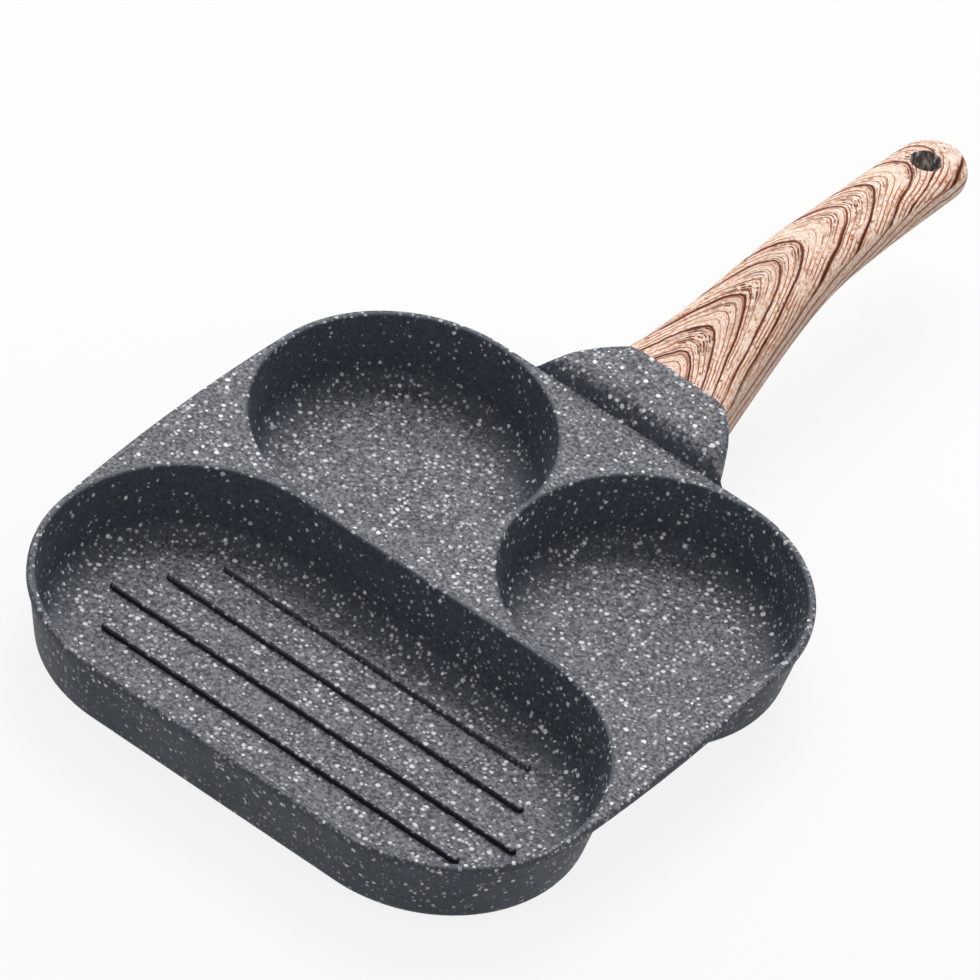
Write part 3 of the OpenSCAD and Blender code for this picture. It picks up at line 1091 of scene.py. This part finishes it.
@dataclass(frozen=True)
class PlainSteel:
    """Plain steel screw, turned on the head.

    Attributes:
        colour: Colour of the steel.
        dull: Colour of its duller bands, as a share.
        turning_pitch_mm: Distance from one turning line to the next.
        turning_mm: Depth of the turning lines.
        relief_per_mm: Features of the roughness in a millimetre.
        roughness: Roughness of the steel.
        patch_rough: How much rougher its patches are.
    """

    colour: Colour = linear(205, 205, 207)
    dull: float = 0.85
    turning_pitch_mm: float = 0.25
    turning_mm: float = 0.01
    relief_per_mm: float = 2.5
    roughness: float = 0.28
    patch_rough: float = 0.1

    def build(self, effects: Effects, axis_mm: tuple[float, float]) -> bpy.types.Material:
        """Builds the material.

        Args:
            effects: The shared node groups.
            axis_mm: Where the screw's axis lies, in X and Y.

        Returns:
            The material.
        """
        finish = Finish("plain_steel")
        graph = finish.graph
        x, y, _ = graph.parts(finish.place)
        across = [graph.minus(value, middle) for value, middle in zip((x, y), axis_mm)]
        away = graph.vector("LENGTH", graph.joined(*across, 0.0))
        lines = graph.use(effects.turning, Distance=away, Pitch=self.turning_pitch_mm)
        relief = graph.use(effects.relief, **{"Place": finish.place, "Per mm": self.relief_per_mm})
        finish.set(
            Base_Color=graph.mix(lines["Bands"], tuple(self.dull * c for c in self.colour), self.colour),
            Metallic=1.0,
            Roughness=graph.math("MULTIPLY_ADD", relief["Patches"], self.patch_rough, self.roughness),
            Normal=finish.bump(lines["Height"], self.turning_mm),
        )
        return finish.material


@dataclass(frozen=True)
class Well:
    """One cooking well.

    Attributes:
        x_mm: Where its middle lies across the pan.
        y_mm: Where its middle lies along the pan.
        half_run_mm: Half the straight run between its two round ends.
        rim_mm: Radius of its mouth.
        foot_mm: Radius of the flat face underneath.
    """

    x_mm: float
    y_mm: float
    half_run_mm: float
    rim_mm: float
    foot_mm: float


def smooth_edges(node: bpy.types.Object, angle_deg: float) -> None:
    """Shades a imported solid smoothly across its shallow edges, by modifiers alone.

    Args:
        node: The solid's object.
        angle_deg: Edges sharper than this stay sharp.
    """
    tree = bpy.data.node_groups.new("soft_edges", "GeometryNodeTree")
    tree.interface.new_socket(name="Geometry", in_out="INPUT", socket_type="NodeSocketGeometry")
    tree.interface.new_socket(name="Geometry", in_out="OUTPUT", socket_type="NodeSocketGeometry")
    graph = Graph(tree)
    merge = graph.add("GeometryNodeMergeByDistance")
    graph.feed(merge.inputs["Geometry"], graph.add("NodeGroupInput").outputs[0])
    graph.feed(merge.inputs["Distance"], SAME_POINT)
    faces = graph.add("GeometryNodeSetShadeSmooth", domain="FACE")
    graph.feed(faces.inputs["Geometry"], merge.outputs[0])
    edges = graph.add("GeometryNodeSetShadeSmooth", domain="EDGE")
    graph.feed(edges.inputs["Geometry"], faces.outputs[0])
    bend = graph.add("GeometryNodeInputMeshEdgeAngle").outputs["Unsigned Angle"]
    graph.feed(edges.inputs["Shade Smooth"], graph.math("LESS_THAN", bend, math.radians(angle_deg)))
    graph.feed(graph.add("NodeGroupOutput").inputs[0], edges.outputs[0])
    node.modifiers.new("soft_edges", "NODES").node_group = tree
    weights = node.modifiers.new("even_normals", "WEIGHTED_NORMAL")
    weights.keep_sharp = True
    weights.weight = LARGE_FACE_WEIGHT


@dataclass
class Part:
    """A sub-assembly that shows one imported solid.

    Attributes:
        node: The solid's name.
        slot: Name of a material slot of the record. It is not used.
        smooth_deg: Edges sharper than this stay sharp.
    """

    node: str
    slot: str
    smooth_deg: float = 40.0

    def solid(self) -> bpy.types.Object:
        """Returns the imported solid's object."""
        return frame["nodes"][self.node]

    def dress(self, material: bpy.types.Material) -> None:
        """Gives the solid its finish and smooth edges.

        Args:
            material: The finish.
        """
        solid = self.solid()
        solid.data.materials.clear()
        solid.data.materials.append(material)
        smooth_edges(solid, self.smooth_deg)
        log.info("%s wears %s", self.node, material.name)


@dataclass
class Casting(Part):
    """The cast pan body, with its two round wells and the long ribbed well.

    Each well lies over a mount of the record, on which it stands.

    Attributes:
        round_feet: The mounts under the round wells.
        long_foot: The mount under the long well.
        long_half_mm: Half the long well's straight run.
        round_rim_mm: Radius of a round well's mouth.
        long_rim_mm: Radius of the ends of the long well's mouth.
        round_foot_mm: Radius of the flat face under a round well.
        long_foot_mm: Radius of the flat face's ends under the long well.
        deck_mm: Height of the deck.
        wall_lean_deg: How far the wells' walls lean.
        half_wall_mm: Half the walls' thickness.
        groove_top_mm: A height just above the grooves in the undersides.
    """

    round_feet: tuple[str, ...] = ("base_left", "base_right")
    long_foot: str = "base_long"
    long_half_mm: float = 49.5
    round_rim_mm: float = 50.0
    long_rim_mm: float = 52.5
    round_foot_mm: float = 43.3
    long_foot_mm: float = 45.8
    deck_mm: float = 28.0
    wall_lean_deg: float = 11.0
    half_wall_mm: float = 1.1
    groove_top_mm: float = 0.45

    def wells(self) -> list[Well]:
        """Lists the wells.

        Returns:
            The round wells, and the long one last.
        """
        round_mm = (0.0, self.round_rim_mm, self.round_foot_mm)
        long_mm = (self.long_half_mm, self.long_rim_mm, self.long_foot_mm)
        wells = [self._over(foot, *round_mm) for foot in self.round_feet]
        return [*wells, self._over(self.long_foot, *long_mm)]

    @staticmethod
    def _over(foot: str, *sizes_mm: float) -> Well:
        """Places a well with these sizes over a mount."""
        x, y, _ = mount(foot)["pos_m"]
        return Well(x * MM, y * MM, *sizes_mm)


@dataclass
class Grip(Part):
    """The moulded handle.

    Attributes:
        hole_edge_mm: How far outside the hanging hole's radius its colour ends, and is full.
        crest_half_mm: How far from the middle a point may lie and still be on the crest.
        flaw_mm: How far a point on the crest may lie under its neighbours, or it is in the hole.
        lug_mm: Where the handle begins, along the pan.
        tip_mm: Where it ends.
        hole_mm: Middle of the hanging hole.
        hole_axis: Direction of the hanging hole.
        hole_r_mm: Radius of the hanging hole.
    """

    hole_edge_mm: Span = (0.7, 0.3)
    crest_half_mm: float = 0.05
    flaw_mm: float = 0.3
    lug_mm: float = field(init=False)
    tip_mm: float = field(init=False)
    hole_mm: Vector = field(init=False)
    hole_axis: Vector = field(init=False)
    hole_r_mm: float = field(init=False)

    def __post_init__(self) -> None:
        """Reads the handle's two ends and its hanging hole from the frame."""
        low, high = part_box(self.node)
        self.lug_mm = low.y * MM
        self.tip_mm = high.y * MM
        hole = mount("hanging_hole")
        self.hole_mm = Vector(hole["pos_m"]) * MM
        self.hole_axis = Vector(hole["axis"])
        self.hole_r_mm = hole["dims"]["r_mm"]

    def crest_line_mm(self) -> list[tuple[float, float]]:
        """Reads the handle's highest line from its solid.

        Returns:
            Pairs of Y and Z in millimetres, from the lug to the tip.
        """
        highest: dict[float, float] = {}
        for vertex in self.solid().data.vertices:
            x, y, z = vertex.co * MM
            if abs(x) < self.crest_half_mm:
                highest[round(y, 1)] = max(z, highest.get(round(y, 1), z))
        line = sorted(highest.items())
        kept = [line[0]]
        for before, (y, z), after in zip(line, line[1:], line[2:]):
            share = (y - before[0]) / (after[0] - before[0])
            if z > before[1] + share * (after[1] - before[1]) - self.flaw_mm:
                kept.append((y, z))
        return [*kept, line[-1]]


@dataclass(frozen=True)
class ReferenceCamera:
    """The camera at the photograph's viewing angle.

    Attributes:
        eye: Where the camera stands.
        target: What its axis meets, at the height of the rim.
        roll_deg: How far it is turned about its axis.
        lens_mm: Focal length on a sensor of sensor_mm.
        sensor_mm: Width of the sensor.
        far: How far the camera sees.
    """

    eye: tuple[float, float, float] = (1.66746, -2.68931, 3.05733)
    target: tuple[float, float, float] = (-0.01209, 0.10030, 0.028)
    roll_deg: float = 10.912
    lens_mm: float = 514.286
    sensor_mm: float = 36.0
    far: float = 50.0

    def place(self) -> None:
        """Makes the camera and has the scene use it."""
        data = bpy.data.cameras.new("camera")
        data.lens = self.lens_mm
        data.sensor_width = self.sensor_mm
        data.clip_end = self.far
        camera = bpy.data.objects.new("camera", data)
        bpy.context.scene.collection.objects.link(camera)
        look = (Vector(self.target) - Vector(self.eye)).to_track_quat("-Z", "Y")
        camera.rotation_mode = "QUATERNION"
        camera.rotation_quaternion = look @ Quaternion((0.0, 0.0, 1.0), math.radians(self.roll_deg))
        camera.location = self.eye
        bpy.context.scene.camera = camera


@dataclass(frozen=True)
class Studio:
    """Plain pale floor, even sky and one large soft lamp behind the pan.

    Attributes:
        floor_half: Half the floor's side.
        floor_gap: How far the floor lies under the pan's feet, so that no two faces coincide.
        floor_colour: Colour of the floor, as the camera sees it.
        floor_bounce: Colour of the floor, as the light sees it.
        floor_glow: Share of plain white that the camera sees in the floor.
        sky: Strength of the even light.
        lamp_from: Direction to the lamp, from the middle of the pan.
        lamp_far: Distance to the lamp.
        lamp_side: Side of the lamp.
        lamp_watts: Power of the lamp.
    """

    floor_half: float = 12.0
    floor_gap: float = 0.0002
    floor_colour: Colour = (0.80, 0.80, 0.80)
    floor_bounce: Colour = (0.50, 0.50, 0.50)
    floor_glow: float = 0.86
    sky: float = 0.47
    lamp_from: tuple[float, float, float] = (-0.44, 0.67, 0.92)
    lamp_far: float = 1.6
    lamp_side: float = 1.1
    lamp_watts: float = 21.5

    def build(self) -> None:
        """Builds the floor, the sky and the lamp."""
        self._floor()
        self._sky()
        self._lamp()
        bpy.context.scene.view_settings.view_transform = "Standard"

    @staticmethod
    def _seen(graph: Graph) -> Socket:
        """Returns 1 for rays from the camera, and those that metal or glass sends on."""
        rays = graph.add("ShaderNodeLightPath").outputs
        seen = graph.math("MAXIMUM", rays["Is Camera Ray"], rays["Is Glossy Ray"])
        return graph.math("MAXIMUM", seen, rays["Is Transmission Ray"])

    def _floor(self) -> None:
        """Builds the floor, which keeps the pan's shadow."""
        half = self.floor_half
        mesh = bpy.data.meshes.new("floor")
        signs = ((-1, -1), (1, -1), (1, 1), (-1, 1))
        corners = [(x * half, y * half, -self.floor_gap) for x, y in signs]
        mesh.from_pydata(corners, [], [(0, 1, 2, 3)])
        floor = bpy.data.objects.new("floor", mesh)
        bpy.context.scene.collection.objects.link(floor)
        material = bpy.data.materials.new("pale_floor")
        material.use_nodes = True
        material.node_tree.nodes.clear()
        graph = Graph(material.node_tree)
        paint = graph.add("ShaderNodeBsdfDiffuse")
        seen = self._seen(graph)
        graph.feed(paint.inputs["Color"], graph.mix(seen, self.floor_bounce, self.floor_colour))
        glow = graph.add("ShaderNodeEmission")
        blend = graph.add("ShaderNodeMixShader")
        graph.feed(blend.inputs[0], graph.times(seen, self.floor_glow))
        graph.feed(blend.inputs[1], paint.outputs[0])
        graph.feed(blend.inputs[2], glow.outputs[0])
        output = graph.add("ShaderNodeOutputMaterial")
        graph.feed(output.inputs["Surface"], blend.outputs[0])
        mesh.materials.append(material)

    def _sky(self) -> None:
        """Builds the even light, which the camera sees as white."""
        world = bpy.data.worlds.new("sky")
        world.use_nodes = True
        world.node_tree.nodes.clear()
        graph = Graph(world.node_tree)
        background = graph.add("ShaderNodeBackground")
        background.inputs["Color"].default_value = WHITE
        seen = graph.add("ShaderNodeLightPath").outputs["Is Camera Ray"]
        graph.feed(background.inputs["Strength"], graph.between(seen, self.sky, 1.0))
        output = graph.add("ShaderNodeOutputWorld")
        graph.feed(output.inputs["Surface"], background.outputs[0])
        bpy.context.scene.world = world

    def _lamp(self) -> None:
        """Builds the soft lamp."""
        data = bpy.data.lights.new("soft_lamp", "AREA")
        data.shape = "SQUARE"
        data.size = self.lamp_side
        data.energy = self.lamp_watts
        lamp = bpy.data.objects.new("soft_lamp", data)
        bpy.context.scene.collection.objects.link(lamp)
        direction = Vector(self.lamp_from).normalized()
        middle = (CAD_BOX[0] + CAD_BOX[1]) / 2
        lamp.location = middle + direction * self.lamp_far
        lamp.rotation_mode = "QUATERNION"
        lamp.rotation_quaternion = (-direction).to_track_quat("-Z", "Y")


def main() -> None:
    """Builds the studio and dresses each part."""
    logging.basicConfig(level=logging.INFO, format="%(message)s")
    ReferenceCamera().place()
    Studio().build()
    effects = Effects()
    casting = Casting("pan_body", "casting")
    casting.dress(StoneCoating().build(effects, casting))
    grip = Grip("handle", "grip")
    grip.dress(WoodPrint().build(effects, grip))
    screw = Part("handle_screw", "fixing")
    low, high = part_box(screw.node)
    middle = (low + high) / 2 * MM
    screw.dress(PlainSteel().build(effects, (middle.x, middle.y)))


if __name__ == "__main__":
    main()
